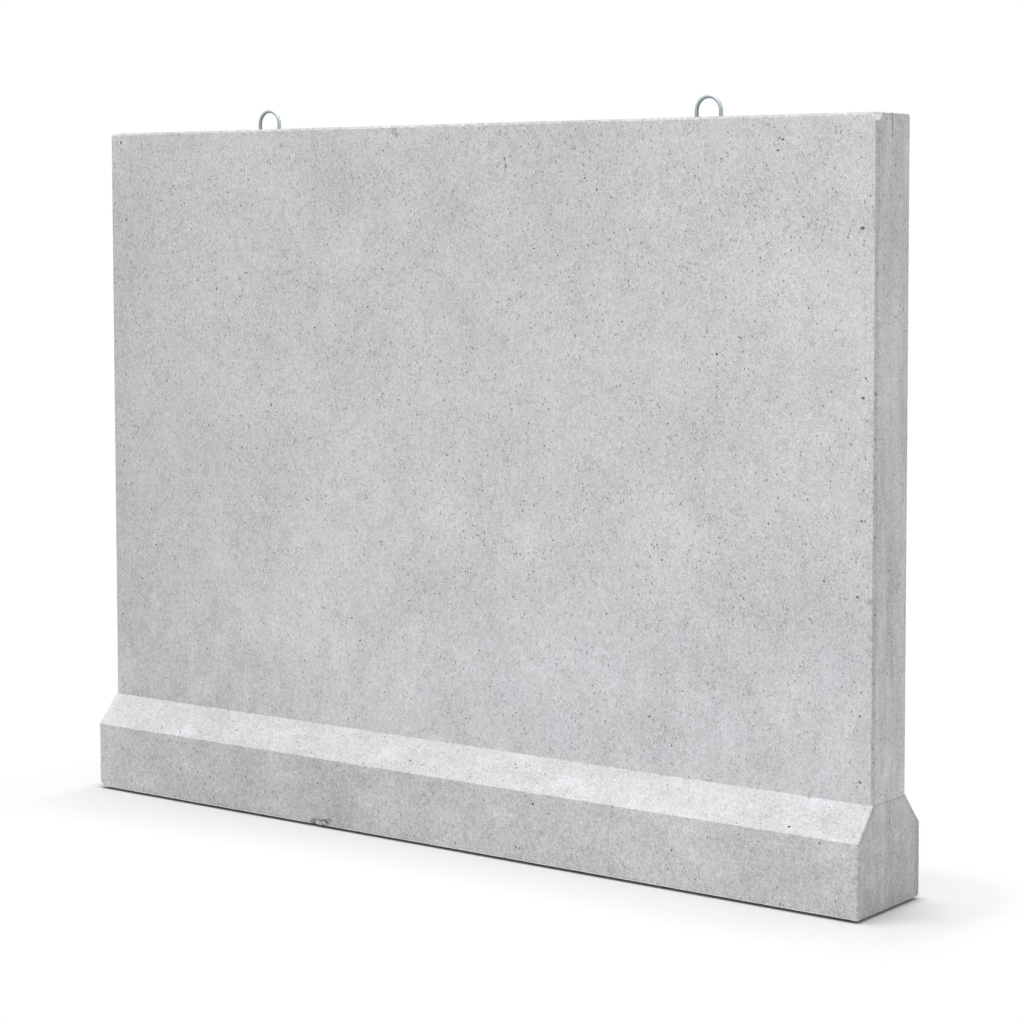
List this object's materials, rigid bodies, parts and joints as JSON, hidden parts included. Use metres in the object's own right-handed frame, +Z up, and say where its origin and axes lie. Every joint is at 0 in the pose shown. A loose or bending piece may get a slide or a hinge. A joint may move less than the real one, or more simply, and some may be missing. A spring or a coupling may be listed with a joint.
{
  "type": "precast concrete wall element",
  "caption": "Free-standing precast concrete wall element on a haunched foot, with steel lifting loops cast into its top and a thin bearing mat under it.",
  "frame": {"origin": "on the floor, under the middle of the foot (centre of the bounding box's underside)", "axes": "+X along the wall towards its right end, +Y from front to back through its thickness, +Z up"},
  "size_m": [3.99, 0.475, 3.1019],
  "materials": {
    "foot_concrete": "fair-faced grey concrete, smooth, with small blowholes",
    "stem_concrete": "fair-faced light grey concrete, smooth, with small blowholes and faint clouding",
    "galvanised_bar": "bright zinc coating, slightly dull",
    "mat_rubber": "matt black bonded rubber granulate"
  },
  "bodies": {
    "root": {"wall_foot": "foot_concrete", "wall_stem": "stem_concrete", "lifting_loop_left": "galvanised_bar", "lifting_loop_right": "galvanised_bar", "bearing_mat": "mat_rubber"}
  },
  "joints": []
}
